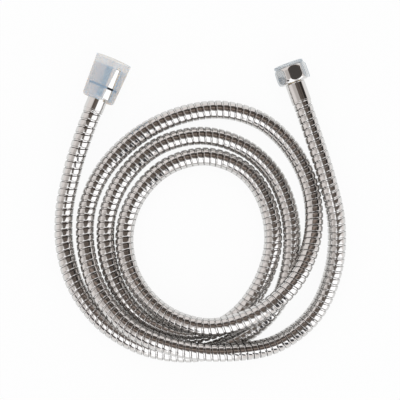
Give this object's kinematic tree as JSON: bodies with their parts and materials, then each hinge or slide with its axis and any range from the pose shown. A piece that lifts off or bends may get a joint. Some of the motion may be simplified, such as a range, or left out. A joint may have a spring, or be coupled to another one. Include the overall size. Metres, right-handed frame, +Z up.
{
  "type": "shower hose",
  "caption": "Flexible metal shower hose lying in a loose coil, with a conical nut for the hand shower and a hexagonal nut for the wall outlet, both in clear plastic guards.",
  "frame": {"origin": "floor level, under the middle of the whole coil with its ends", "axes": "+Z up from the floor the coil lies on; both nuts point away towards +Y, the conical nut on the -X side and the hexagonal nut on the +X side"},
  "size_m": [0.222, 0.2346, 0.0287],
  "materials": {
    "jacket": "polished helical interlocked strip",
    "liner": "plain extruded hose",
    "fittings": "polished plating",
    "tails": "turned",
    "seals": "matt moulded",
    "slip_ring": "moulded",
    "guards": "soft milky clear"
  },
  "bodies": {
    "hose": {"hose_jacket": "jacket", "inner_hose": "liner", "cone_ferrule": "fittings", "cone_hose_tail": "tails", "hex_ferrule": "fittings", "hex_hose_tail": "tails"},
    "hand_shower_nut": {"cone_nut": "fittings", "cone_slip_ring": "slip_ring", "cone_washer": "seals", "cone_sleeve": "guards"},
    "wall_outlet_nut": {"hex_nut": "fittings", "hex_washer": "seals", "hex_cap": "guards"}
  },
  "joints": [
    {"name": "hand_shower_nut_spin", "type": "hinge", "parent": "hose", "child": "hand_shower_nut", "pos_m": [-0.07561, 0.08829, 0.01386], "axis": [0.3827, 0.9239, 0], "continuous": true},
    {"name": "wall_outlet_nut_spin", "type": "hinge", "parent": "hose", "child": "wall_outlet_nut", "pos_m": [0.07163, 0.09527, 0.01275], "axis": [-0.3387, 0.9409, 0], "continuous": true}
  ]
}
